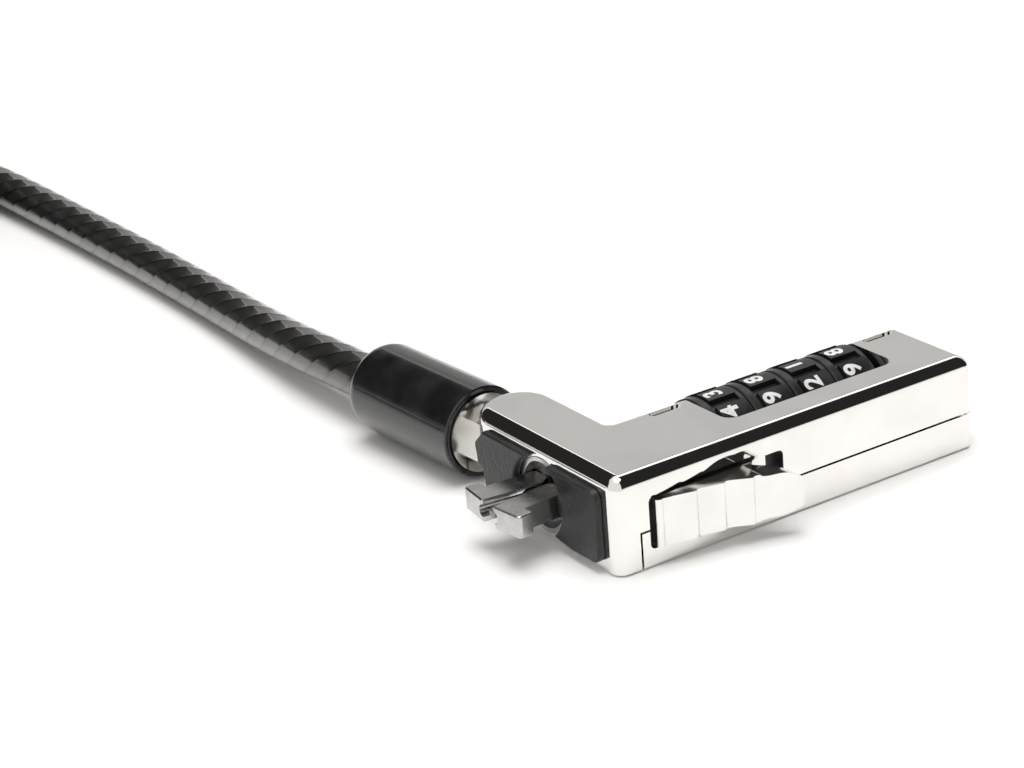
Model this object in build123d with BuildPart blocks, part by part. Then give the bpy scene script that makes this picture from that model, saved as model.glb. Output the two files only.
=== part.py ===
from build123d import *
import os
from math import cos, sin, tan, radians, degrees, pi, sqrt

# Laptop cable lock: an L-shaped combination head with a two-jaw tip, a thumb slide, four dials
# and a steel cable on a swivelling boot. Millimetres. The origin is on the base plane, where the
# tip's axis (along X) crosses the short arm's middle line (along Y). +Z is up, the tip points to -X
# and the cable leaves towards +Y.

os.makedirs("parts", exist_ok=True)

# ---- head ----
BODY_H = 9.0  # height of the head
BODY_L = 39.7  # length of the long arm
ARM_W = 7.3  # width of the short arm
BAR_W = 10.7  # width of the long arm
FACE_X = -ARM_W / 2  # the laptop-facing side
END_X = FACE_X + BODY_L
FRONT_Y = -BAR_W  # the side with the thumb slide
WALL = 1.0
FLOOR_T = 0.9
EDGE_R = 1.28  # rounding along the top
BASE_R = 0.35  # rounding along the base
SPLIT_Z = 3.6  # the cover ends here
SPLIT_X = FACE_X + 2.42  # the housing wraps down in front of this
SPLIT_GAP = 0.2  # the fine joint between housing and cover

# ---- swivel ----
PIVOT = (0.0, 8.75)  # the swivel pin's place in plan
ARM_END_R = ARM_W / 2
YAW = 3.6  # the boot's lean from +Y towards -X, degrees
BOOT_R = 4.35
BOOT_Z = 4.5
BOOT_FRONT = 5.85  # distances from the pivot along the boot's axis
BOOT_REAR = 22.4
SLOT_Z = (2.35, 6.65)
KNUCKLE_Z = (2.55, 6.45)
KNUCKLE_R = 3.05
NECK_W = 3.8
SWING_IN = 26.0  # the slot's side follows the neck at this lean, degrees
RUN_FIT = 0.06  # radial clearance of what turns or slides in a bore

# ---- tip ----
TIP_Z = 4.27
BUSH_R = 3.5
BUSH_BORE = 3.05
BUSH_PROUD = 0.05
JAW_T = 2.1
JAW_GAP_Z = 0.1
JAW_PIVOT = (-2.0, 2.0)
JAW_END_X = -9.3
JAW_SPREAD = 6.6  # degrees each jaw turns out from closed to locked
JAW_PIN_R = 0.45
PIN_NOSE_R, PIN_BODY_R = 0.5, 0.8

# ---- dials ----
DIAL_Y, DIAL_Z = -1.7, 4.68
DIAL_R = 4.455  # over the raised digit blocks
DIAL_PITCH = 4.62
DIAL_W = 4.5
FIRST_DIAL_X = 13.7
DIAL_COUNT = 4
DIGITS = 10
WINDOW_X = (11.25, 30.15)
WINDOW_Y = -7.05
BEAM_BACK_Y = WINDOW_Y - 0.8  # inside of the beam's rear wall
SPINDLE_R, SPINDLE_BORE = 1.0, 0.71
BAR_R = 0.65
CODE_R = 2.25

# ---- thumb slide ----
TRAVEL = 1.5
SLOT_X = (-0.2, 14.2)
SLOT_SIDE_Z = (1.7, 6.55)
SLIDER_X = (0.3, 12.6)
SLIDER_Z = (1.9, 6.3)
FLANGE_T = 0.5

# ---- cable ----
CABLE_R = 2.25
COIL_MIDDLE_R = 25.6
COIL_TURNS_A_LAYER = 3.5
COIL_LAYERS = 3
COIL_CENTRE = (-37.0, 136.0)
TIE_T = 0.9
LOOP_Z = 17.3  # the loop's ferrule lies on the coil
LOOP_X = -52.45


def box(x, y, z, mode=Mode.ADD):
    """A box between two corners, given as (low, high) along each axis."""
    with Locations(((x[0] + x[1]) / 2, (y[0] + y[1]) / 2, (z[0] + z[1]) / 2)):
        Box(x[1] - x[0], y[1] - y[0], z[1] - z[0], mode=mode)


def rect(x, y, mode=Mode.ADD):
    with Locations(((x[0] + x[1]) / 2, (y[0] + y[1]) / 2)):
        Rectangle(x[1] - x[0], y[1] - y[0], mode=mode)


def along_x(x, y, z):
    """A plane across X at x, its middle at y and z, so that an extrusion runs towards +X."""
    return Plane((x, y, z), x_dir=(0, 1, 0), z_dir=(1, 0, 0))


def side_plane(y):
    """A plane facing -Y, with its own axes along X and Z."""
    return Plane((0, y, 0), x_dir=(1, 0, 0), z_dir=(0, -1, 0))


def save(name, part):
    part.label = name
    export_step(part, f"parts/{name}.step")


# ---------------------------------------------------------------- head shells


def outer_form():
    """The head's outer shape: an L in plan, a round arm end, rounded top and base edges."""
    with BuildPart() as form:
        with BuildSketch() as plan:
            with BuildLine():
                Polyline((FACE_X, PIVOT[1]), (FACE_X, FRONT_Y), (END_X, FRONT_Y), (END_X, 0), (-FACE_X, 0),
                         (-FACE_X, PIVOT[1]))
                RadiusArc((-FACE_X, PIVOT[1]), (FACE_X, PIVOT[1]), -ARM_END_R)
            make_face()
            fillet(plan.vertices().sort_by_distance((FACE_X, FRONT_Y))[0], 1.2)
            fillet(plan.vertices().sort_by_distance((END_X, FRONT_Y))[0], 0.8)
            fillet(plan.vertices().sort_by_distance((END_X, 0))[0], 0.8)
            fillet(plan.vertices().sort_by_distance((-FACE_X, 0))[0], 0.2)
        extrude(amount=BODY_H)
        fillet(form.faces().sort_by(Axis.Z)[-1].outer_wire().edges(), EDGE_R)
        fillet(form.faces().sort_by(Axis.Z)[0].outer_wire().edges(), BASE_R)
    return form.part


OUTER = outer_form()


def hollow_form():
    """Everything that is open inside both shells: the cavity, the dial window and the swivel slot."""
    with BuildPart() as hollow:
        with BuildSketch(Plane.XY.offset(FLOOR_T)):
            rect((FACE_X + WALL, WINDOW_X[0] - 0.8), (FRONT_Y + WALL, -WALL))
            rect((WINDOW_X[0] - 0.9, WINDOW_X[1] + 0.9), (FRONT_Y + WALL, BEAM_BACK_Y))
            rect((WINDOW_X[1] + 0.8, END_X - WALL), (FRONT_Y + WALL, -WALL))
            rect((FACE_X + WALL, -FACE_X - WALL), (-WALL - 0.1, 4.2))
        extrude(amount=BODY_H - FLOOR_T - WALL)
        # the dial window, open behind and below
        with BuildSketch(Plane.XY.offset(-1)) as window:
            rect(WINDOW_X, (WINDOW_Y, 3))
            fillet(window.vertices().group_by(Axis.Y)[0], 1.3)
        extrude(amount=BODY_H + 2)
        # round holes for the tip's bush and for the bar with its spring
        with BuildSketch(along_x(FACE_X - 1, 0, TIP_Z)):
            Circle(BUSH_R)
        extrude(amount=WALL + 1.05)
        with BuildSketch(along_x(0.5, DIAL_Y, DIAL_Z)):
            Circle(1.2)
        extrude(amount=WINDOW_X[0] - 0.8 - 0.5)
        with BuildSketch(along_x(1, DIAL_Y, DIAL_Z)):
            Circle(SPINDLE_R)
        extrude(amount=WINDOW_X[1])
        # the swivel's slot, open at the arm's end and towards the inside of the L
        lean = radians(SWING_IN)
        edge = (PIVOT[0] - (NECK_W / 2 + 0.25) * cos(lean), PIVOT[1] - (NECK_W / 2 + 0.25) * sin(lean))
        with BuildSketch(Plane.XY.offset(SLOT_Z[0])):
            with Locations(PIVOT):
                Circle(KNUCKLE_R + 0.25)
            with BuildLine():
                Polyline(edge, (edge[0] - 8 * sin(lean), edge[1] + 8 * cos(lean)), (6, 16), (6, 6.4), (0, 6.4),
                         close=True)
            make_face()
        extrude(amount=SLOT_Z[1] - SLOT_Z[0])
        with BuildSketch(Plane.XY.offset(-1)):
            with Locations(PIVOT):
                Circle(1.0)
        extrude(amount=8.7)
        # the thumb slide's slot
        with BuildSketch(side_plane(FRONT_Y - 1)) as slide_slot:
            rect(SLOT_X, SLOT_SIDE_Z)
            fillet(slide_slot.vertices(), 0.5)
        extrude(amount=-(WALL + 1))
    return hollow.part


HOLLOW = hollow_form()
RIVETS = [(17.5, -8.5), (28.0, -8.5), (33.0, -4.0), (0.2, 4.9)]  # under the beam, the right end and the arm
RIVET_R, RIVET_HEAD_R, RIVET_TOP = 0.45, 0.85, 5.4
DIAL_XS = [FIRST_DIAL_X + i * DIAL_PITCH for i in range(DIAL_COUNT)]

with BuildPart() as upper_housing:
    add(OUTER)
    add(HOLLOW, mode=Mode.SUBTRACT)
    # the beam's rear wall and the bosses that take the cover rivets
    box((WINDOW_X[0] - 0.8, WINDOW_X[1] + 0.8), (BEAM_BACK_Y, WINDOW_Y), (FLOOR_T, BODY_H - WALL))
    with BuildSketch(Plane.XY.offset(SPLIT_Z)):
        with Locations(*RIVETS[:3]):
            Circle(0.95)
    extrude(amount=BODY_H - WALL - SPLIT_Z)
    # the cover's room, with the joint gap
    box((SPLIT_X, END_X + 1), (FRONT_Y - 1, 14), (-1, SPLIT_Z), mode=Mode.SUBTRACT)
    with Locations(*[(x, y, RIVET_TOP / 2) for x, y in RIVETS]):
        Cylinder(RIVET_R, RIVET_TOP, mode=Mode.SUBTRACT)
    # scooped relief above the slide slot
    with BuildSketch(side_plane(FRONT_Y - 1)):
        with BuildLine():
            Polyline((11.4, 6.2), (0.4, 6.2), (0.4, 6.58))
            Spline((0.4, 6.58), (1.5, 6.62), (3.8, 6.92), (5.5, 7.12), (6.6, 7.52), (8.9, 7.7), (10.3, 7.27), (11.4, 6.2))
        make_face()
    extrude(amount=-1.65, mode=Mode.SUBTRACT)
    # two reading marks beside the window
    with BuildSketch(Plane.XY.offset(BODY_H - 0.35)):
        with Locations((8.6, -1.5), (32.95, -1.45)):
            SlotOverall(3.4, 0.75)
    extrude(amount=1, mode=Mode.SUBTRACT)
save("upper_housing", upper_housing.part)

with BuildPart() as bottom_cover:
    add(OUTER)
    add(HOLLOW, mode=Mode.SUBTRACT)
    box((FACE_X - 1, END_X + 1), (FRONT_Y - 1, 14), (SPLIT_Z - SPLIT_GAP, BODY_H + 1), mode=Mode.SUBTRACT)
    box((FACE_X - 1, SPLIT_X + SPLIT_GAP), (FRONT_Y - 1, 14), (-1, BODY_H + 1), mode=Mode.SUBTRACT)
    box((WINDOW_X[0] - 0.8, WINDOW_X[1] + 0.8), (BEAM_BACK_Y, WINDOW_Y), (FLOOR_T, SPLIT_Z - SPLIT_GAP))
    with Locations(*[(x, y, SPLIT_Z / 2) for x, y in RIVETS]):
        Cylinder(RIVET_R, SPLIT_Z + 1, mode=Mode.SUBTRACT)
    with Locations(*[(x, y, 0.25) for x, y in RIVETS]):
        Cylinder(RIVET_HEAD_R, 0.5, mode=Mode.SUBTRACT)
save("bottom_cover", bottom_cover.part)

with BuildPart() as cover_rivets:
    with Locations(*[(x, y, 0.05 + 0.45 / 2) for x, y in RIVETS]):
        Cylinder(RIVET_HEAD_R - 0.03, 0.45)
    with Locations(*[(x, y, (0.3 + RIVET_TOP) / 2) for x, y in RIVETS]):
        Cylinder(RIVET_R, RIVET_TOP - 0.3)
save("cover_rivets", cover_rivets.part)

# ---------------------------------------------------------------- pads and tip

PAD_T = 0.75
PAD_PLANE = Plane((FACE_X, 0, 0), x_dir=(0, 1, 0), z_dir=(-1, 0, 0))  # its Y runs towards -Z
PAD_RING = BUSH_R + 0.15

with BuildPart() as front_pad_right:
    with BuildSketch(PAD_PLANE) as outline:
        with BuildLine():
            Polyline((-8.85, -0.9), (-8.85, -7.65), (-1.3, -7.65), (-1.3, -1.6), (-2.6, -1.2), (-4.6, -0.9),
                     close=True)
        make_face()
        fillet(outline.vertices().group_by(Axis.X)[0], 0.9)
        with Locations((0, -TIP_Z)):
            Circle(PAD_RING, mode=Mode.SUBTRACT)
        rect((-2.3, 0), (-3.5, 0), mode=Mode.SUBTRACT)
    extrude(amount=PAD_T)
    chamfer(front_pad_right.faces().sort_by(Axis.X)[0].outer_wire().edges(), 0.08)
save("front_pad_right", front_pad_right.part)

with BuildPart() as front_pad_left:
    with BuildSketch(PAD_PLANE) as outline:
        with BuildLine():
            Polyline((1.1, -7.7), (8.3, -7.75), (9.75, -6.3), (9.45, -4.3), (8.7, -4.0), (8.4, -2.0), (7.6, -0.9),
                     (2.6, -0.6), close=True)
        make_face()
        with Locations((0, -TIP_Z)):
            Circle(PAD_RING, mode=Mode.SUBTRACT)
    extrude(amount=PAD_T)
    chamfer(front_pad_left.faces().sort_by(Axis.X)[0].outer_wire().edges(), 0.12)
save("front_pad_left", front_pad_left.part)

BLOCK_X = (-2.3, -0.85)

with BuildPart() as tip_bush:
    with BuildSketch(along_x(FACE_X - BUSH_PROUD, 0, TIP_Z)):
        Circle(BUSH_R)
    extrude(amount=BUSH_PROUD + WALL)
    chamfer(tip_bush.faces().sort_by(Axis.X)[0].outer_wire().edges(), 0.1)
    with BuildSketch(along_x(FACE_X + WALL, 0, TIP_Z)):
        Circle(3.3)
    extrude(amount=BLOCK_X[0] - FACE_X - WALL)
    with BuildSketch(along_x(FACE_X - BUSH_PROUD, 0, TIP_Z)):
        Circle(BUSH_BORE)
    extrude(amount=1.2, mode=Mode.SUBTRACT)
    box(BLOCK_X, (-3.2, 3.2), (TIP_Z - 1.95, TIP_Z + 1.95))
    box((FACE_X, 0), (-3.4, 3.4), (TIP_Z - JAW_T / 2 - JAW_GAP_Z, TIP_Z + JAW_T / 2 + JAW_GAP_Z), mode=Mode.SUBTRACT)
    # the bush's wall stays whole where the slot would open it
    with BuildSketch(along_x(FACE_X, 0, TIP_Z)):
        Circle(BUSH_R)
        Circle(BUSH_BORE, mode=Mode.SUBTRACT)
    extrude(amount=WALL)
    with BuildSketch(along_x(FACE_X, 0, TIP_Z)):
        Circle(PIN_BODY_R + 0.1)
    extrude(amount=4, mode=Mode.SUBTRACT)
    with Locations((JAW_PIVOT[0], JAW_PIVOT[1], TIP_Z), (JAW_PIVOT[0], -JAW_PIVOT[1], TIP_Z)):
        Cylinder(JAW_PIN_R, 5, mode=Mode.SUBTRACT)
save("tip_bush", tip_bush.part)

with BuildPart() as jaw_pins:
    with Locations((JAW_PIVOT[0], JAW_PIVOT[1], TIP_Z), (JAW_PIVOT[0], -JAW_PIVOT[1], TIP_Z)):
        Cylinder(JAW_PIN_R, 3.8)
save("jaw_pins", jaw_pins.part)


def jaw_part():
    """The jaw on the +Y side, drawn closed about its pivot and turned out by the spread."""
    turn = radians(-JAW_SPREAD)
    pivot = Plane((JAW_PIVOT[0], JAW_PIVOT[1], TIP_Z), x_dir=(cos(turn), sin(turn), 0), z_dir=(0, 0, 1))
    end = JAW_END_X - JAW_PIVOT[0]
    inner = 0.06 - JAW_PIVOT[1]
    foot, neck_end, neck_root = 1.45, 0.33, 0.68
    foot_back = end + 1.5
    with BuildPart() as jaw:
        with BuildSketch(pivot.offset(-JAW_T / 2)) as outline:
            with BuildLine():
                Polyline((end, inner), (end, foot), (foot_back, foot), (foot_back, neck_end), (-0.9, neck_root),
                         (-0.35, -0.95), (-1.35, inner), close=True)
            make_face()
            fillet(outline.vertices().sort_by_distance((end, foot))[0], 0.35)
            Circle(1.0)
            Circle(JAW_PIN_R + 0.05, mode=Mode.SUBTRACT)
        extrude(amount=JAW_T)
        tip_edges = jaw.faces().sort_by(Axis.X)[0].edges()
        fillet(tip_edges, 0.18)
        groove = Plane(pivot.from_local_coords((end - 0.5, -JAW_PIVOT[1], 0)), x_dir=(0, 0, 1), z_dir=pivot.x_dir)
        with BuildSketch(groove):
            Circle(PIN_NOSE_R + 0.1)
        extrude(amount=7, mode=Mode.SUBTRACT)
        with BuildSketch(groove.offset(4.4)):
            Circle(PIN_NOSE_R + 0.1)
        with BuildSketch(groove.offset(4.8)):
            Circle(PIN_BODY_R + 0.1)
        loft(mode=Mode.SUBTRACT)
        with BuildSketch(groove.offset(4.8)):
            Circle(PIN_BODY_R + 0.1)
        extrude(amount=3, mode=Mode.SUBTRACT)
    return jaw.part


LEFT_JAW = jaw_part()
with BuildPart() as jaw_left:
    add(LEFT_JAW)
save("jaw_left", jaw_left.part)
with BuildPart() as jaw_right:
    mirror(LEFT_JAW, about=Plane.XZ)
save("jaw_right", jaw_right.part)

# ---------------------------------------------------------------- thumb slide

CROSSBAR_X = (-0.6, 0.9)
RAIL_Y = (FRONT_Y + WALL + 0.1, FRONT_Y + WALL + 0.1 + FLANGE_T)

with BuildPart() as spreader_pin:
    with BuildSketch(Plane.XZ) as profile:
        with BuildLine():
            Polyline((CROSSBAR_X[1], TIP_Z), (CROSSBAR_X[1], TIP_Z + PIN_BODY_R), (-5.1, TIP_Z + PIN_BODY_R),
                     (-6.6, TIP_Z + PIN_NOSE_R), (-9.2, TIP_Z + PIN_NOSE_R), (-9.2, TIP_Z), close=True)
        make_face()
    revolve(axis=Axis((0, 0, TIP_Z), (1, 0, 0)))
    fillet(spreader_pin.edges().filter_by(GeomType.CIRCLE).sort_by(Axis.X)[0], 0.4)
save("spreader_pin", spreader_pin.part)

with BuildPart() as slide_carriage:
    box((-1.6, 14.5), RAIL_Y, (1.35, 6.9))
    box(CROSSBAR_X, (RAIL_Y[1], -0.9), (3.1, 5.5))
    with BuildSketch(along_x(CROSSBAR_X[0], 0, TIP_Z)):
        Circle(1.2)
    extrude(amount=CROSSBAR_X[1] - CROSSBAR_X[0])
    with BuildSketch(along_x(CROSSBAR_X[0], DIAL_Y, DIAL_Z)):
        Circle(1.05)
    extrude(amount=CROSSBAR_X[1] - CROSSBAR_X[0])
    with BuildSketch(along_x(-2, 0, TIP_Z)):
        Circle(PIN_BODY_R)
    extrude(amount=4, mode=Mode.SUBTRACT)
    with BuildSketch(along_x(-2, DIAL_Y, DIAL_Z)):
        Circle(BAR_R)
    extrude(amount=4, mode=Mode.SUBTRACT)
    with BuildSketch(side_plane(RAIL_Y[1])):
        with Locations((3.0, 4.1), (10.0, 4.1)):
            Circle(0.4)
    extrude(amount=3, both=True, mode=Mode.SUBTRACT)
save("slide_carriage", slide_carriage.part)

# the slider's front in plan: shallow ribs that step out, then a hook for the thumb
FRONT = [(1.55, -11.35), (4.2, -11.72), (6.85, -12.1), (9.3, -12.95)]  # where each rib starts
TIP_OUT = (13.3, -14.35)

with BuildPart() as thumb_slider:
    with BuildSketch(Plane.XY.offset(SLIDER_Z[0])) as plan:
        with BuildLine():
            Polyline((SLIDER_X[1], RAIL_Y[0]), (SLIDER_X[0], RAIL_Y[0]), (SLIDER_X[0], FRONT_Y - 0.2))
            TangentArc((SLIDER_X[0], FRONT_Y - 0.2), (0.95, -11.2), tangent=(0, -1))
            Line((0.95, -11.2), FRONT[0])
            for (x0, y0), (x1, y1) in zip(FRONT, FRONT[1:]):
                Polyline((x0, y0), (x0 + 0.3, y0 - 0.02), (x1 - 0.28, y1 - 0.2), (x1, y1))
            Spline(FRONT[-1], (10.9, -13.45), TIP_OUT, tangents=((0.9, -0.12), (0.75, -0.65)))
            Polyline(TIP_OUT, (13.75, -14.15), (13.7, -13.6))
            Spline((13.7, -13.6), (12.3, -12.1), (10.9, -10.6), tangents=((-0.3, 0.6), (-0.5, 0.9)))
            Polyline((10.9, -10.6), (11.2, -10.25), (SLIDER_X[1], -10.25), (SLIDER_X[1], RAIL_Y[0]))
        make_face()
    extrude(amount=SLIDER_Z[1] - SLIDER_Z[0])
    # the thumb hook is a rounded tongue seen from the front
    with BuildSketch(side_plane(-16)):
        with BuildLine():
            Polyline((9.8, 7), (15, 7), (15, 4.1))
            Spline((15, 4.1), (13.6, 5.3), (11.6, 6.1), (9.8, SLIDER_Z[1] + 0.01), (9.8, 7))
        make_face()
    extrude(amount=-5.4, mode=Mode.SUBTRACT)
    with BuildSketch(side_plane(-16)):
        with BuildLine():
            Polyline((9.8, 1), (15, 1), (15, 4.1))
            Spline((15, 4.1), (13.6, 2.9), (11.6, 2.1), (9.8, SLIDER_Z[0] - 0.01), (9.8, 1))
        make_face()
    extrude(amount=-5.4, mode=Mode.SUBTRACT)
    with BuildSketch(side_plane(FRONT_Y)):
        with Locations((3.0, 4.1), (10.0, 4.1)):
            Circle(0.4)
    extrude(amount=-2, mode=Mode.SUBTRACT)
save("thumb_slider", thumb_slider.part)

with BuildPart() as slider_rivets:
    with BuildSketch(side_plane(FRONT_Y)):
        with Locations((3.0, 4.1), (10.0, 4.1)):
            Circle(0.4)
    extrude(amount=-(RAIL_Y[1] - FRONT_Y))
    with BuildSketch(side_plane(RAIL_Y[1])):
        with Locations((3.0, 4.1), (10.0, 4.1)):
            Circle(0.75)
    extrude(amount=-0.35)
save("slider_rivets", slider_rivets.part)

FIN_T = 0.35
CODE_W = 2.35  # the code ring fills this much of its dial's width
FIN_XS = [x - DIAL_W / 2 + CODE_W + 0.15 for x in DIAL_XS]

with BuildPart() as locking_bar:
    with BuildSketch(along_x(CROSSBAR_X[0], DIAL_Y, DIAL_Z)):
        Circle(BAR_R)
    extrude(amount=32.2 - CROSSBAR_X[0])
    for x in FIN_XS:
        box((x, x + FIN_T), (DIAL_Y - 0.25, DIAL_Y + 0.25), (DIAL_Z - 1.95, DIAL_Z))
save("locking_bar", locking_bar.part)

with BuildPart() as dial_spindle:
    with BuildSketch(along_x(WINDOW_X[0] - 0.75, DIAL_Y, DIAL_Z)):
        Circle(SPINDLE_R)
        Circle(SPINDLE_BORE, mode=Mode.SUBTRACT)
    extrude(amount=WINDOW_X[1] + 0.75 - WINDOW_X[0] + 0.75)
    box((FIN_XS[0] - 0.15, 40), (DIAL_Y - 0.4, DIAL_Y + 0.4), (DIAL_Z - 2, DIAL_Z), mode=Mode.SUBTRACT)
save("dial_spindle", dial_spindle.part)

with BuildPart() as end_washer:
    with BuildSketch(along_x(DIAL_XS[-1] + DIAL_W / 2 + 0.06, DIAL_Y, DIAL_Z)):
        Circle(2.0)
        Circle(SPINDLE_R + RUN_FIT, mode=Mode.SUBTRACT)
    extrude(amount=WINDOW_X[1] - DIAL_XS[-1] - DIAL_W / 2 - 0.06)
save("end_washer", end_washer.part)

SPRING_R, SPRING_WIRE = 0.92, 0.11
with BuildPart() as return_spring:
    with BuildLine() as coil_line:
        Helix(pitch=1.05, height=9.2, radius=SPRING_R, center=(CROSSBAR_X[1] + 0.15, DIAL_Y, DIAL_Z),
              direction=(1, 0, 0))
    with BuildSketch(Plane(coil_line.line @ 0, z_dir=coil_line.line % 0)):
        Circle(SPRING_WIRE)
    sweep(is_frenet=True)
save("return_spring", return_spring.part)

with BuildPart() as detent_spring:
    box((WINDOW_X[0] + 1.35, WINDOW_X[1] - 1.35), (WINDOW_Y, WINDOW_Y + 0.18), (3.7, 5.7))
    with BuildSketch(side_plane(WINDOW_Y)):
        with Locations(*[((a + b) / 2, 4.7) for a, b in zip(DIAL_XS, DIAL_XS[1:])]):
            Rectangle(0.4, 1.4)
    extrude(amount=-1, mode=Mode.SUBTRACT)
    for x in DIAL_XS:
        box((x - 0.4, x + 0.4), (WINDOW_Y, DIAL_Y - DIAL_R - 0.1), (4.45, 4.95))
save("detent_spring", detent_spring.part)

# ---------------------------------------------------------------- dials

RIM_LEFT, RIM_RIGHT, BLOCK_GAP = 0.8, 0.55, 0.3
GROOVE_R = DIAL_R - 0.55
RIM_R = DIAL_R - 0.1

for i, x in enumerate(DIAL_XS):
    start = x - DIAL_W / 2
    with BuildPart() as dial:
        with BuildSketch(along_x(start, DIAL_Y, DIAL_Z)):
            Circle(RIM_R)
        extrude(amount=DIAL_W)
        chamfer(dial.edges().filter_by(GeomType.CIRCLE), 0.12)
        with BuildSketch(along_x(start + RIM_LEFT, DIAL_Y, DIAL_Z)):
            Circle(DIAL_R + 1)
            Circle(GROOVE_R, mode=Mode.SUBTRACT)
        extrude(amount=DIAL_W - RIM_LEFT - RIM_RIGHT, mode=Mode.SUBTRACT)
        # ten raised blocks, the first one on top
        with BuildSketch(along_x(start + RIM_LEFT + BLOCK_GAP, DIAL_Y, DIAL_Z)) as blocks:
            Circle(DIAL_R)
            Circle(GROOVE_R - 0.3, mode=Mode.SUBTRACT)
            with PolarLocations(DIAL_R, DIGITS, start_angle=90 + 180 / DIGITS):
                Rectangle(2.4, 0.95, mode=Mode.SUBTRACT)
        extrude(amount=DIAL_W - RIM_LEFT - RIM_RIGHT - BLOCK_GAP)
        with BuildSketch(along_x(start, DIAL_Y, DIAL_Z)):
            Circle(CODE_R)
        extrude(amount=DIAL_W, mode=Mode.SUBTRACT)
    save(f"dial_{i + 1}", dial.part)

    with BuildPart() as code_ring:
        with BuildSketch(along_x(start, DIAL_Y, DIAL_Z)):
            Circle(CODE_R)
            Circle(SPINDLE_R + RUN_FIT, mode=Mode.SUBTRACT)
            with Locations((0, -1.6)):
                Rectangle(0.7, 1.4, mode=Mode.SUBTRACT)
        extrude(amount=CODE_W)
    save(f"code_ring_{i + 1}", code_ring.part)

# ---------------------------------------------------------------- swivel and boot

AXIS = Vector(-sin(radians(YAW)), cos(radians(YAW)), 0)
ACROSS = Vector(cos(radians(YAW)), sin(radians(YAW)), 0)
PIVOT_POINT = Vector(PIVOT[0], PIVOT[1], BOOT_Z)


def station(s):
    """A plane across the boot's axis at distance s from the swivel pin."""
    return Plane(PIVOT_POINT + AXIS * s, x_dir=ACROSS, z_dir=AXIS)


def disc(s, radius, thickness, mode=Mode.ADD):
    with Locations(station(s)):
        Cylinder(radius, thickness, align=(Align.CENTER, Align.CENTER, Align.MIN), mode=mode)


HEAD = (5.55, 7.0)  # the yoke's round head, inside the boot's mouth
HEAD_R = 3.75
STEM_R = 1.5
STEM_END = 14.0
FERRULE = (11.8, 18.0)
FERRULE_R = 2.9
BOOT_BORE_END = 20.2

with BuildPart() as swivel_pin:
    with Locations((PIVOT[0], PIVOT[1], (0.12 + 7.6) / 2)):
        Cylinder(1.0, 7.6 - 0.12)
save("swivel_pin", swivel_pin.part)

with BuildPart() as swivel_yoke:
    with BuildSketch(Plane.XY.offset(KNUCKLE_Z[0])):
        with Locations(PIVOT):
            Circle(KNUCKLE_R)
    extrude(amount=KNUCKLE_Z[1] - KNUCKLE_Z[0])
    with BuildSketch(station(1.0)):
        Rectangle(NECK_W, KNUCKLE_Z[1] - KNUCKLE_Z[0])
    extrude(amount=HEAD[0] - 0.5)
    disc(HEAD[0], HEAD_R, HEAD[1] - HEAD[0])
    chamfer(swivel_yoke.edges().filter_by(GeomType.CIRCLE).sort_by(Axis.Y)[-1], 0.2)
    disc(HEAD[1], STEM_R, STEM_END - HEAD[1])
    with Locations((PIVOT[0], PIVOT[1], BOOT_Z)):
        Cylinder(1.0 + RUN_FIT, 8, mode=Mode.SUBTRACT)
save("swivel_yoke", swivel_yoke.part)

with BuildPart() as boot:
    with BuildSketch(Plane(PIVOT_POINT, x_dir=AXIS, z_dir=ACROSS)):
        with BuildLine():
            Polyline((BOOT_FRONT, 0), (BOOT_FRONT, BOOT_R - 0.12), (BOOT_FRONT + 0.12, BOOT_R),
                     (BOOT_REAR - 1.8, BOOT_R))
            TangentArc((BOOT_REAR - 1.8, BOOT_R), (BOOT_REAR, BOOT_R - 1.75), tangent=(1, 0))
            Polyline((BOOT_REAR, BOOT_R - 1.75), (BOOT_REAR, 0), (BOOT_FRONT, 0))
        make_face()
    revolve(axis=Axis(PIVOT_POINT, AXIS))
    disc(BOOT_FRONT - 1, HEAD_R + 0.1, 1 + HEAD[1] + 0.12 - BOOT_FRONT, mode=Mode.SUBTRACT)
    disc(BOOT_FRONT, STEM_R + RUN_FIT, 5, mode=Mode.SUBTRACT)
    disc(9.6, 3.1, BOOT_BORE_END - 9.6, mode=Mode.SUBTRACT)
    disc(9.6, CABLE_R + 0.1, BOOT_REAR, mode=Mode.SUBTRACT)
save("boot", boot.part)

with BuildPart() as boot_bushing:
    disc(FERRULE[1] + 0.15, 3.1, BOOT_BORE_END - FERRULE[1] - 0.2)
    disc(FERRULE[1], CABLE_R + 0.08, 4, mode=Mode.SUBTRACT)
save("boot_bushing", boot_bushing.part)

with BuildPart() as stem_clip:
    disc(9.75, 2.4, 0.6)
    disc(9.0, STEM_R, 2, mode=Mode.SUBTRACT)
save("stem_clip", stem_clip.part)

with BuildPart() as cable_ferrule:
    disc(FERRULE[0], FERRULE_R, FERRULE[1] - FERRULE[0])
    disc(FERRULE[0] - 1, STEM_R, 1 + STEM_END - FERRULE[0], mode=Mode.SUBTRACT)
save("cable_ferrule", cable_ferrule.part)

# ---------------------------------------------------------------- cable


def tube(points, radius):
    """A round tube along straight runs joined by arcs as large as their runs allow."""
    route = [Vector(*p) for p in points]
    runs = [b - a for a, b in zip(route, route[1:])]
    radii = []
    for before, after in zip(runs, runs[1:]):
        half_turn = radians(before.get_angle(after)) / 2
        radii.append(0.45 * min(before.length, after.length) / tan(half_turn))
    with BuildPart() as body:
        with BuildLine() as line:
            FilletPolyline(*route, radius=radii)
        with BuildSketch(Plane(line.line @ 0, z_dir=line.line % 0)):
            Circle(radius)
        sweep()
    length = sum(edge.length for edge in line.edges())
    print(f"tube of {length:.1f} mm, radii {[round(r) for r in radii]}, "
          f"volume over section times length {body.part.volume / (pi * radius ** 2 * length):.4f}")
    return body.part


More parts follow.
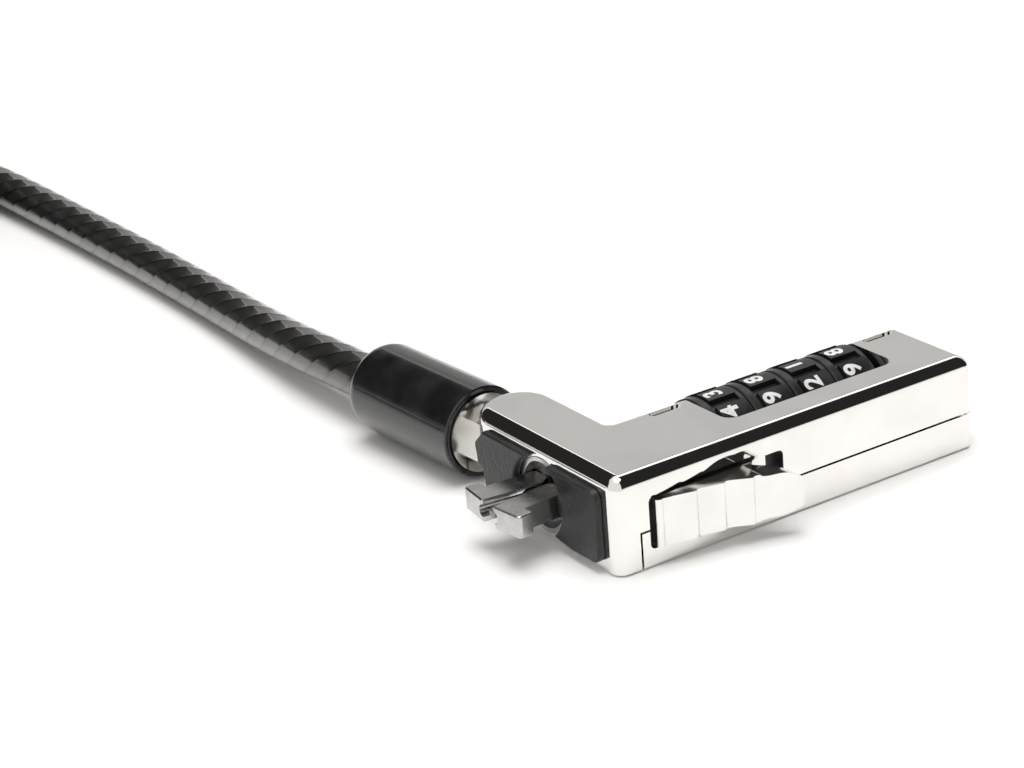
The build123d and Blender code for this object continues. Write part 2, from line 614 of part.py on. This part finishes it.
START = PIVOT_POINT + AXIS * FERRULE[1]
OUT = PIVOT_POINT + AXIS * 31
STRAND = 2.3  # half the distance between the strands in the loop's ferrule
CABLE_POINTS = [
    (START.X, START.Y, START.Z), (OUT.X, OUT.Y, 4.4), (-1.0, 53.0, 3.1), (0.0, 66.0, 2.4), (0.35, 84.0, 2.3),
    (0.0, 106.0, 2.35), (-0.7, 124.0, 2.6), (-3.5, 136.0, 3.15),
]
FERRULE_Y = (115.0, 131.0)
TAIL_POINTS = [
    (-48.6, 149.6, 14.6), (-52.6, 144.0, 16.2), (LOOP_X - STRAND + 0.15, 137.5, 17.2),
    (LOOP_X - STRAND, FERRULE_Y[1], LOOP_Z),
]
LOOP_HALF = [
    (STRAND, 115.0, LOOP_Z), (2.7, 105.0, 17.4), (7.2, 93.0, 15.3), (14.0, 80.5, 11.2), (15.5, 66.5, 6.2),
    (7.4, 56.0, 2.6),
]
LOOP_POINTS = [(LOOP_X - x, y, z) for x, y, z in LOOP_HALF] + [(LOOP_X + x, y, z) for x, y, z in LOOP_HALF[::-1]]

with BuildPart() as cable:
    add(tube(CABLE_POINTS, CABLE_R))
save("cable", cable.part)

with BuildPart() as cable_tail:
    add(tube(TAIL_POINTS, CABLE_R))
save("cable_tail", cable_tail.part)

with BuildPart() as end_loop:
    add(tube(LOOP_POINTS, CABLE_R))
save("end_loop", end_loop.part)

with BuildPart() as loop_ferrule:
    with BuildSketch(Plane((LOOP_X, FERRULE_Y[0], LOOP_Z), x_dir=(-1, 0, 0), z_dir=(0, 1, 0))):
        SlotOverall(2 * STRAND + 5.6, 5.6)
    extrude(amount=FERRULE_Y[1] - FERRULE_Y[0])
    chamfer(loop_ferrule.faces().filter_by(Axis.Y).edges(), 0.35)
save("loop_ferrule", loop_ferrule.part)

COIL_SPREAD = COIL_TURNS_A_LAYER * CABLE_R + CABLE_R  # from the middle turn out to the coil's side
COIL_HEIGHT = 2 * CABLE_R * COIL_LAYERS

with BuildPart() as cable_coil:
    with BuildSketch(Plane((COIL_CENTRE[0], COIL_CENTRE[1], TIE_T), x_dir=(1, 0, 0), z_dir=(0, -1, 0))) as section:
        with Locations((COIL_MIDDLE_R, COIL_HEIGHT / 2)):
            RectangleRounded(2 * COIL_SPREAD, COIL_HEIGHT, CABLE_R - 0.1)
    revolve(axis=Axis((COIL_CENTRE[0], COIL_CENTRE[1], 0), (0, 0, 1)))
save("cable_coil", cable_coil.part)

with BuildPart() as coil_ties:
    for side in (25, 290):
        out = Vector(cos(radians(side)), sin(radians(side)), 0)
        along = Vector(-sin(radians(side)), cos(radians(side)), 0)
        middle = Vector(COIL_CENTRE[0], COIL_CENTRE[1], TIE_T + COIL_HEIGHT / 2)
        with BuildSketch(Plane(middle + out * (COIL_MIDDLE_R - 0.6) - along * 5, x_dir=out, z_dir=along)):
            RectangleRounded(2 * COIL_SPREAD + 2 * TIE_T + 1.4, COIL_HEIGHT + 2 * TIE_T, CABLE_R + 0.4)
            RectangleRounded(2 * COIL_SPREAD + 1.4, COIL_HEIGHT, CABLE_R - 0.3, mode=Mode.SUBTRACT)
        extrude(amount=10)
save("coil_ties", coil_ties.part)
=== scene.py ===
from math import cos, pi, radians, sin

import bmesh
import bpy
from mathutils import Matrix, Vector, noise


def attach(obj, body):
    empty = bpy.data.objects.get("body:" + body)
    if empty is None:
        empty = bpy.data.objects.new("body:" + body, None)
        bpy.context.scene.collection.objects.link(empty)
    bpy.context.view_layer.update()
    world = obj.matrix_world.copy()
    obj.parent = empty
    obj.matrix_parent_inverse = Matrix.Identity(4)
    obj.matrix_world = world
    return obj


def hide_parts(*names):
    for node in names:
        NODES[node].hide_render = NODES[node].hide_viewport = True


# A laptop cable lock: chrome L-shaped head, black dials, steel cable. The frame is in metres, so MM turns
# millimetres into it.
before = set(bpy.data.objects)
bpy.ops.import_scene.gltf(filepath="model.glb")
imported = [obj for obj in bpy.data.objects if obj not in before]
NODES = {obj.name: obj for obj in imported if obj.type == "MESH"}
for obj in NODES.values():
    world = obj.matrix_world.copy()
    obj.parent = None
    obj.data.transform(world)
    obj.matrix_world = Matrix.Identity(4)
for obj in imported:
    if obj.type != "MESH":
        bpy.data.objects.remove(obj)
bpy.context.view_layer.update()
MM = 0.001


# ---------------------------------------------------------------- camera

AZIMUTH, ELEVATION, ROLL = radians(-31.89), radians(22.63), radians(-4.70)
FOCAL_LENGTH = 97.52
CAMERA_PLACE = (-0.12016, -0.18350, 0.10543)
back = Vector((sin(AZIMUTH) * cos(ELEVATION), -cos(AZIMUTH) * cos(ELEVATION), sin(ELEVATION)))
right = (-back).cross(Vector((0, 0, 1))).normalized()
up = right.cross(-back)
turned_right = right * cos(ROLL) + up * sin(ROLL)
turned_up = up * cos(ROLL) - right * sin(ROLL)
camera_data = bpy.data.cameras.new("camera")
camera_data.lens = FOCAL_LENGTH
camera_data.clip_start = 0.005
camera_data.clip_end = 30
camera = bpy.data.objects.new("camera", camera_data)
camera.matrix_world = Matrix.Translation(CAMERA_PLACE) @ Matrix(
    (turned_right, turned_up, back)).transposed().to_4x4()
bpy.context.collection.objects.link(camera)
bpy.context.scene.camera = camera


# ---------------------------------------------------------------- cable

DIAL_Y, DIAL_Z, DIAL_R = -1.7, 4.68, 4.455
CABLE_R = 2.25
PIVOT = Vector((0, 8.75, 4.5))
YAW = radians(3.6)
BOOT_AXIS = Vector((-sin(YAW), cos(YAW), 0))
START, OUT = PIVOT + BOOT_AXIS * 18, PIVOT + BOOT_AXIS * 31
LAY = 21.0  # one turn of the strands under the sheath

COIL_MIDDLE = (-37.0, 136.0)
COIL_OUT, COIL_IN, PITCH = 33.5, 17.75, 4.5
LAYER_Z = (3.15, 7.65, 12.15)
LAYER_TURNS = (3.5, 3.5, 3.5)
TURN_STEPS = 14  # control points in a turn
RISE_STEPS = 3  # a layer is reached within this many points
CLIMB_FROM, CLIMB = 2.95, 4.6  # the last layer's end climbs by this much after this many turns


def coil_points():
    """Turns wound inwards on the table, outwards on those and inwards on top, each rising at its start."""
    points = []
    turned = 0.0
    for layer, turns in enumerate(LAYER_TURNS):
        steps = round(turns * TURN_STEPS)
        for i in range(0 if layer == 0 else 1, steps + 1):
            done = turns * i / steps
            radius = COIL_IN + PITCH * done if layer == 1 else COIL_OUT - PITCH * done
            below = LAYER_Z[max(layer - 1, 0)]
            z = below + (LAYER_Z[layer] - below) * min(1, i / RISE_STEPS)
            if layer == 2:
                z += max(0, (done - CLIMB_FROM) / (turns - CLIMB_FROM)) * CLIMB
            angle = 2 * pi * (turned + done)
            points.append((COIL_MIDDLE[0] + radius * cos(angle), COIL_MIDDLE[1] + radius * sin(angle), z))
        turned += turns
    return points


RUN = [
    tuple(START), (OUT.x, OUT.y, 4.4), (-1.0, 53.0, 3.1), (0.0, 66.0, 2.4), (0.35, 84.0, 2.3),
    (0.0, 106.0, 2.35), (-0.7, 124.0, 2.6),
]
LOOP_X, STRAND = -52.45, 2.3
TAIL = [(LOOP_X - STRAND, 131.0, 17.3)]
LOOP_HALF = [
    (STRAND, 115.0, 17.3), (2.7, 105.0, 17.4), (7.2, 93.0, 15.3), (14.0, 80.5, 11.2), (15.5, 66.5, 6.2),
    (7.4, 56.0, 2.6),
]
LOOP = [(LOOP_X - x, y, z) for x, y, z in LOOP_HALF] + [(LOOP_X + x, y, z) for x, y, z in LOOP_HALF[::-1]]


def spline_line(name, points, resolution):
    """The points of one smooth spline through the route, in metres."""
    curve = bpy.data.curves.new(name, "CURVE")
    curve.dimensions = "3D"
    curve.resolution_u = resolution
    spline = curve.splines.new("NURBS")
    spline.points.add(len(points) - 1)
    for target, p in zip(spline.points, points):
        target.co = (p[0] * MM, p[1] * MM, p[2] * MM, 1)
    spline.order_u = 3
    spline.use_endpoint_u = True
    holder = bpy.data.objects.new(name, curve)
    bpy.context.collection.objects.link(holder)
    mesh = bpy.data.meshes.new_from_object(holder)
    line = [v.co.copy() for v in mesh.vertices]
    bpy.data.objects.remove(holder)
    bpy.data.curves.remove(curve)
    bpy.data.meshes.remove(mesh)
    return line


def new_object(name, mesh, body, *materials):
    obj = bpy.data.objects.new(name, mesh)
    bpy.context.collection.objects.link(obj)
    for m in materials:
        mesh.materials.append(m)
    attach(obj, body)
    return obj


def tube(name, line, radius, sides=28):
    """A closed tube along a line, its UV in turns of lay along it and once round it."""
    bm = bmesh.new()
    uv = bm.loops.layers.uv.new("UVMap")
    tangents = [(b - a).normalized() for a, b in zip(line, line[1:])]
    tangents = [tangents[0]] + [(a + b).normalized() for a, b in zip(tangents, tangents[1:])] + [tangents[-1]]
    side = tangents[0].cross(Vector((0, 0, 1))).normalized()
    rings, travelled, lengths = [], 0.0, []
    for i, (p, t) in enumerate(zip(line, tangents)):
        if i:
            travelled += (p - line[i - 1]).length
        side = (side - t * side.dot(t)).normalized()
        top = side.cross(t)
        rings.append([bm.verts.new(p + (side * cos(a) + top * sin(a)) * radius)
                      for a in (2 * pi * k / sides for k in range(sides))])
        lengths.append(travelled / (LAY * MM))
    for i in range(len(rings) - 1):
        for k in range(sides):
            n = (k + 1) % sides
            face = bm.faces.new((rings[i][k], rings[i][n], rings[i + 1][n], rings[i + 1][k]))
            face.smooth = True
            for loop, u, v in zip(face.loops, (i, i, i + 1, i + 1), (k, k + 1, k + 1, k)):
                loop[uv].uv = (lengths[u], v / sides)
    bm.faces.new(rings[0][::-1])
    bm.faces.new(rings[-1])
    bm.normal_update()
    mesh = bpy.data.meshes.new(name)
    bm.to_mesh(mesh)
    bm.free()
    return mesh, travelled


# ---------------------------------------------------------------- materials


class Paint:
    """A procedural material built with a few short calls. Coordinates are the object's own, in metres."""

    def __init__(self, name):
        self.material = bpy.data.materials.new(name)
        self.material.use_nodes = True
        self.tree = self.material.node_tree
        self.shader = self.tree.nodes["Principled BSDF"]
        self.place = self.tree.nodes.new("ShaderNodeTexCoord")

    def put(self, socket, value):
        if isinstance(value, bpy.types.NodeSocket):
            self.tree.links.new(value, socket)
        else:
            if socket.type == "RGBA" and len(value) == 3:
                value = (*value, 1)
            socket.default_value = value

    def set(self, **values):
        for key, value in values.items():
            self.put(self.shader.inputs[key.replace("_", " ")], value)
        return self

    def math(self, operation, a, b=0.0, c=0.0):
        node = self.tree.nodes.new("ShaderNodeMath")
        node.operation = operation
        for socket, value in zip(node.inputs, (a, b, c)):
            self.put(socket, value)
        return node.outputs[0]

    def noise(self, scale, detail=3.0, rough=0.55, stretch=(1, 1, 1), source="Object"):
        vector = self.place.outputs[source]
        if stretch != (1, 1, 1):
            mapping = self.tree.nodes.new("ShaderNodeMapping")
            mapping.inputs["Scale"].default_value = stretch
            self.tree.links.new(vector, mapping.inputs["Vector"])
            vector = mapping.outputs[0]
        node = self.tree.nodes.new("ShaderNodeTexNoise")
        node.inputs["Scale"].default_value = scale
        node.inputs["Detail"].default_value = detail
        node.inputs["Roughness"].default_value = rough
        self.tree.links.new(vector, node.inputs["Vector"])
        return node.outputs["Fac"]

    def spread(self, value, low, high, out_low=0.0, out_high=1.0):
        node = self.tree.nodes.new("ShaderNodeMapRange")
        node.interpolation_type = "SMOOTHSTEP"
        for key, v in (("Value", value), ("From Min", low), ("From Max", high), ("To Min", out_low),
                       ("To Max", out_high)):
            self.put(node.inputs[key], v)
        return node.outputs[0]

    def mix(self, factor, a, b):
        node = self.tree.nodes.new("ShaderNodeMix")
        node.data_type = "RGBA"
        for socket, value in zip((node.inputs[0], node.inputs[6], node.inputs[7]), (factor, a, b)):
            self.put(socket, value)
        return node.outputs[2]

    def bump(self, height, distance, strength=1.0, after=None):
        node = self.tree.nodes.new("ShaderNodeBump")
        node.inputs["Strength"].default_value = strength
        node.inputs["Distance"].default_value = distance * MM
        self.put(node.inputs["Height"], height)
        if after is not None:
            self.put(node.inputs["Normal"], after)
        return node.outputs[0]

    def split(self, source="UV"):
        node = self.tree.nodes.new("ShaderNodeSeparateXYZ")
        self.tree.links.new(self.place.outputs[source], node.inputs[0])
        return node.outputs


def chrome(name, tint, grain, satin):
    """Plated metal: a mirror with faint smudges and an almost invisible orange peel."""
    p = Paint(name)
    smudge = p.noise(170, 4)
    fine = p.noise(5200, 2)
    dark = tuple(c * 0.94 for c in tint)
    p.set(Base_Color=p.mix(p.spread(smudge, 0.35, 0.7), tint, dark), Metallic=1.0,
          Roughness=p.math("ADD", satin, p.math("MULTIPLY", smudge, satin * 0.9)),
          Normal=p.bump(fine, grain))
    return p.material


def steel(name, tint, roughness, grain=0.004, scale=4200, stretch=(1, 1, 1)):
    """Bare or tumbled steel: a fine grain, with darker and rougher patches."""
    p = Paint(name)
    patches = p.noise(420, 5, 0.6)
    fine = p.noise(scale, 3, 0.6, stretch)
    dark = tuple(c * 0.72 for c in tint)
    p.set(Base_Color=p.mix(p.spread(patches, 0.3, 0.72), tint, dark), Metallic=1.0,
          Roughness=p.spread(patches, 0.25, 0.75, roughness * 0.8, roughness * 1.3),
          Normal=p.bump(fine, grain))
    return p.material


def moulding(name, tint, roughness, grain, scale=3800, coat=0.0):
    """Moulded plastic with a spark-eroded grain."""
    p = Paint(name)
    fine = p.noise(scale, 3, 0.6)
    wide = p.noise(380, 3)
    light = tuple(c * 1.5 + 0.004 for c in tint)
    p.set(Base_Color=p.mix(p.spread(wide, 0.35, 0.7), tint, light),
          Roughness=p.spread(wide, 0.25, 0.8, roughness * 0.85, roughness * 1.2),
          Normal=p.bump(fine, grain), Coat_Weight=coat, Coat_Roughness=0.05)
    return p.material


def sheathed_cable():
    """Steel strands seen faintly under a glossy smoke-black sheath that follows their lay, with painted shade
    darkening the grooves between the strands.
    """
    p = Paint("sheath")
    u, v, _ = p.split()
    strands = 6
    phase = p.math("FRACT", p.math("MULTIPLY", p.math("SUBTRACT", v, u), strands))
    off = p.math("MULTIPLY", p.math("ABSOLUTE", p.math("SUBTRACT", phase, 0.5)), 2)
    crown = p.math("SQRT", p.math("SUBTRACT", 1.05, p.math("MULTIPLY", off, off)))
    smoke = p.noise(330, 3)
    lit = p.mix(smoke, (0.018, 0.0175, 0.017), (0.034, 0.033, 0.032))
    # painted shade: the base colour goes near black towards each strand's edge, in the grooves between strands,
    # and the smoke-varied 'lit' colour stays on the crowns
    p.set(Base_Color=p.mix(p.spread(off, 0.45, 1.0), lit, (0.005, 0.005, 0.005)), Metallic=0.35,
          Roughness=p.spread(smoke, 0.2, 0.8, 0.30, 0.40),
          Normal=p.bump(crown, 0.16), Coat_Weight=1.0, Coat_Roughness=0.07, Coat_IOR=1.5)
    p.put(p.shader.inputs["Coat Normal"], p.bump(crown, 0.05))
    return p.material


MAT = {
    "shell_chrome": chrome("shell_chrome", (0.90, 0.885, 0.865), 0.0006, 0.035),
    "slider_chrome": chrome("slider_chrome", (0.88, 0.87, 0.85), 0.0025, 0.10),
    "fastener_steel": steel("fastener_steel", (0.58, 0.57, 0.56), 0.28),
    "tip_steel": steel("tip_steel", (0.58, 0.575, 0.57), 0.24, 0.004),
    "pin_steel": steel("pin_steel", (0.30, 0.30, 0.305), 0.30),
    "inner_steel": steel("inner_steel", (0.56, 0.545, 0.51), 0.26),
    "spring_steel": steel("spring_steel", (0.50, 0.50, 0.50), 0.2),
    "dial_black": moulding("dial_black", (0.012, 0.012, 0.013), 0.34, 0.006),
    "code_brass": steel("code_brass", (0.72, 0.56, 0.29), 0.26),
    "yoke_chrome": chrome("yoke_chrome", (0.84, 0.83, 0.81), 0.0015, 0.09),
    "carriage_steel": steel("carriage_steel", (0.07, 0.07, 0.073), 0.34),
    "boot_black": moulding("boot_black", (0.006, 0.006, 0.0065), 0.24, 0.0015, 2600, coat=0.5),
    "sheath": sheathed_cable(),
    "crimp_metal": steel("crimp_metal", (0.62, 0.62, 0.62), 0.32),
    "tie_rubber": moulding("tie_rubber", (0.02, 0.02, 0.021), 0.6, 0.03, 2500),
    "pad_foam": moulding("pad_foam", (0.009, 0.009, 0.0095), 0.42, 0.05, 3000),
}
for node in NODES.values():
    for holder in node.material_slots:
        if holder.material and holder.material.name.split(".")[0] in MAT:
            holder.material = MAT[holder.material.name.split(".")[0]]

# machined and cast edges, softened a little
for name, width in (("jaw_left", 0.14), ("jaw_right", 0.14), ("thumb_slider", 0.16), ("cable_ferrule", 0.1)):
    bevel = NODES[name].modifiers.new("edge", "BEVEL")
    bevel.width = width * MM
    bevel.segments = 3
    bevel.limit_method = "ANGLE"
    bevel.angle_limit = radians(35)
    bevel.harden_normals = True

cable_line = spline_line("cable_route", RUN + coil_points() + TAIL, 10)
cable_mesh, cable_length = tube("lock_cable", cable_line, CABLE_R * MM)
lock_cable = new_object("lock_cable", cable_mesh, "yoke", MAT["sheath"])
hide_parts("cable", "cable_coil", "cable_tail")
loop_line = spline_line("loop_route", LOOP, 12)
loop_mesh, loop_length = tube("loop_cable", loop_line, CABLE_R * MM)
loop_cable = new_object("loop_cable", loop_mesh, "yoke", MAT["sheath"])
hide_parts("end_loop")
print("cable", round(cable_length, 4), "loop", round(loop_length, 4))


# ---------------------------------------------------------------- numerals on the dials


FIRST_DIAL_X, DIAL_PITCH, DIGITS = 13.7, 4.62, 10
TOP_DIGITS = (3, 8, 1, 8)
NUMERAL_SIZE, NUMERAL_BOLD = 2.5, 0.03
BLOCK_SHIFT = -0.12  # the blocks' middle is this far from the dial's


def numeral_mesh(text, place, angle):
    """One painted numeral, laid on a dial's block, its top towards -X."""
    curve = bpy.data.curves.new("numeral", "FONT")
    curve.body = text
    curve.size = NUMERAL_SIZE
    curve.align_x = "CENTER"
    curve.offset = NUMERAL_BOLD * NUMERAL_SIZE
    curve.resolution_u = 6
    holder = bpy.data.objects.new("numeral", curve)
    bpy.context.collection.objects.link(holder)
    mesh = bpy.data.meshes.new_from_object(holder)
    bpy.data.objects.remove(holder)
    bpy.data.curves.remove(curve)
    bm = bmesh.new()
    bm.from_mesh(mesh)
    bpy.data.meshes.remove(mesh)
    for k in range(-6, 7):
        bmesh.ops.bisect_plane(bm, geom=bm.verts[:] + bm.edges[:] + bm.faces[:], plane_co=(k * 0.15, 0, 0),
                               plane_no=(1, 0, 0))
    middle = (min(v.co.y for v in bm.verts) + max(v.co.y for v in bm.verts)) / 2
    out = DIAL_R + 0.012
    for v in bm.verts:
        around = angle + v.co.x / DIAL_R
        along = place - (v.co.y - middle) * 0.98
        v.co = Vector((along, DIAL_Y + out * sin(around), DIAL_Z + out * cos(around))) * MM
    bm.normal_update()
    return bm


p = Paint("numeral_white")
worn = p.noise(1500, 4)
p.set(Base_Color=p.mix(p.spread(worn, 0.3, 0.75), (0.86, 0.86, 0.85), (0.70, 0.70, 0.69)), Roughness=0.45,
      Normal=p.bump(p.noise(3500, 3), 0.004))
NUMERAL = p.material

for i, shown in enumerate(TOP_DIGITS):
    middle_x = FIRST_DIAL_X + DIAL_PITCH * i + BLOCK_SHIFT
    whole = bmesh.new()
    for step in range(DIGITS):
        digit = numeral_mesh(str((shown + step) % DIGITS), middle_x, -radians(360 / DIGITS) * step)
        loose = bpy.data.meshes.new("loose")
        digit.to_mesh(loose)
        digit.free()
        whole.from_mesh(loose)
        bpy.data.meshes.remove(loose)
    numerals = bpy.data.meshes.new(f"numerals_{i + 1}")
    whole.to_mesh(numerals)
    whole.free()
    new_object(f"numerals_{i + 1}", numerals, f"dial_{i + 1}_set", NUMERAL)


# ---------------------------------------------------------------- soft pieces


def soft_piece(name, node, body, material, cell, rounds, pebble, depth):
    """A soft moulding made from its piece: evenly meshed, its edges rounded off and its skin pebbled."""
    mesh = NODES[node].data.copy()
    obj = new_object(name, mesh, body)
    mesh.materials.clear()
    mesh.materials.append(material)
    remesh = obj.modifiers.new("even", "REMESH")
    remesh.mode = "VOXEL"
    remesh.voxel_size = cell * MM
    remesh.use_smooth_shade = True
    smooth = obj.modifiers.new("round", "SMOOTH")
    smooth.factor = 0.5
    smooth.iterations = rounds
    graph = bpy.context.evaluated_depsgraph_get()
    made = bpy.data.meshes.new_from_object(obj.evaluated_get(graph))
    obj.modifiers.clear()
    obj.data = made
    normals = [v.normal.copy() for v in made.vertices]
    for v, out in zip(made.vertices, normals):
        grain = noise.noise(v.co / (pebble * MM)) + 0.5 * noise.noise(v.co / (pebble * MM * 0.45))
        v.co += out * grain * depth * MM
    for face in made.polygons:
        face.use_smooth = True
    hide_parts(node)
    return obj


soft_piece("foam_pad_right", "front_pad_right", "head", MAT["pad_foam"], 0.11, 4, 0.3, 0.02)
soft_piece("foam_pad_left", "front_pad_left", "head", MAT["pad_foam"], 0.11, 4, 0.3, 0.02)
soft_piece("soft_ties", "coil_ties", "yoke", MAT["tie_rubber"], 0.4, 3, 1.4, 0.03)


# ---------------------------------------------------------------- floor and light

floor_mesh = bpy.data.meshes.new("floor")
FLOOR_Z, FLOOR_HALF = -0.00004, 3
corners = ((-1, -1), (1, -1), (1, 1), (-1, 1))
floor_mesh.from_pydata([(x * FLOOR_HALF, y * FLOOR_HALF, FLOOR_Z) for x, y in corners], [], [(0, 1, 2, 3)])
floor = bpy.data.objects.new("floor", floor_mesh)
bpy.context.collection.objects.link(floor)
p = Paint("floor_paper")
p.set(Base_Color=p.mix(p.noise(9, 3), (0.96, 0.96, 0.96), (0.98, 0.98, 0.98)), Roughness=0.75)
floor_mesh.materials.append(p.material)

world = bpy.data.worlds.new("studio")
bpy.context.scene.world = world
world.use_nodes = True
tree = world.node_tree
background = tree.nodes["Background"]


def wmath(operation, a, b=0.0):
    node = tree.nodes.new("ShaderNodeMath")
    node.operation = operation
    for socket, value in zip(node.inputs, (a, b)):
        if isinstance(value, bpy.types.NodeSocket):
            tree.links.new(value, socket)
        else:
            socket.default_value = value
    return node.outputs[0]


def step_up(value, edge, soft):
    """0 below the edge, 1 above it, eased over soft on each side."""
    node = tree.nodes.new("ShaderNodeMapRange")
    node.interpolation_type = "SMOOTHSTEP"
    tree.links.new(value, node.inputs["Value"])
    node.inputs["From Min"].default_value = edge - soft
    node.inputs["From Max"].default_value = edge + soft
    return node.outputs[0]


def between(value, low, high, soft):
    return wmath("SUBTRACT", step_up(value, low, soft), step_up(value, high, soft))


coordinates = tree.nodes.new("ShaderNodeTexCoord")
parts = tree.nodes.new("ShaderNodeSeparateXYZ")
tree.links.new(coordinates.outputs["Generated"], parts.inputs[0])
dx, dy, dz = parts.outputs
front = wmath("MULTIPLY", wmath("ARCTAN2", dz, dy), 180 / pi)  # angle over the +Y horizon
side = wmath("MULTIPLY", wmath("ARCTAN2", dz, dx), 180 / pi)  # angle over the +X horizon
height = wmath("MULTIPLY", wmath("ARCSINE", dz), 180 / pi)
rightward = step_up(dx, 0.2, 0.08)
not_left = step_up(dx, 0.02, 0.03)
upward = step_up(dz, 0.0, 0.02)
behind = step_up(dy, 0.45, 0.05)


def layer(under, value, *masks):
    """value laid over under where all the masks are 1."""
    mask = masks[0]
    for extra in masks[1:]:
        mask = wmath("MULTIPLY", mask, extra)
    return wmath("ADD", wmath("MULTIPLY", under, wmath("SUBTRACT", 1, mask)), wmath("MULTIPLY", mask, value))


ROOM, BLACK, SEAM, CARD, STRIP, THIN_STRIP, OVERHEAD = 0.86, 0.02, 0.03, 0.56, 1.45, 1.3, 5.6
below_front_50 = wmath("SUBTRACT", 1, step_up(front, 50, 2))
below_front_46 = wmath("SUBTRACT", 1, step_up(front, 46, 1))
light = wmath("ADD", ROOM, 0.0)
light = layer(light, BLACK, between(front, 70, 172, 1.2), not_left, upward)  # dark over the front
light = layer(light, BLACK, between(side, 57, 172, 1.2), behind, upward, below_front_50)  # over the laptop side
light = layer(light, STRIP, between(front, 50.5, 71, 0.8), rightward)
light = layer(light, SEAM, between(front, 46, 50.5, 0.6), rightward)
light = layer(light, THIN_STRIP, between(side, 52, 57, 0.8), behind, below_front_46)
light = layer(light, CARD, between(front, -4, 46, 1), between(side, -4, 52, 1), not_left,
              step_up(dy, 0.2, 0.05))  # the grey card behind
light = layer(light, OVERHEAD, step_up(height, 69, 3))
tree.links.new(light, background.inputs["Strength"])
background.inputs["Color"].default_value = (1.0, 0.985, 0.965, 1)

bpy.context.scene.view_settings.view_transform = "Standard"
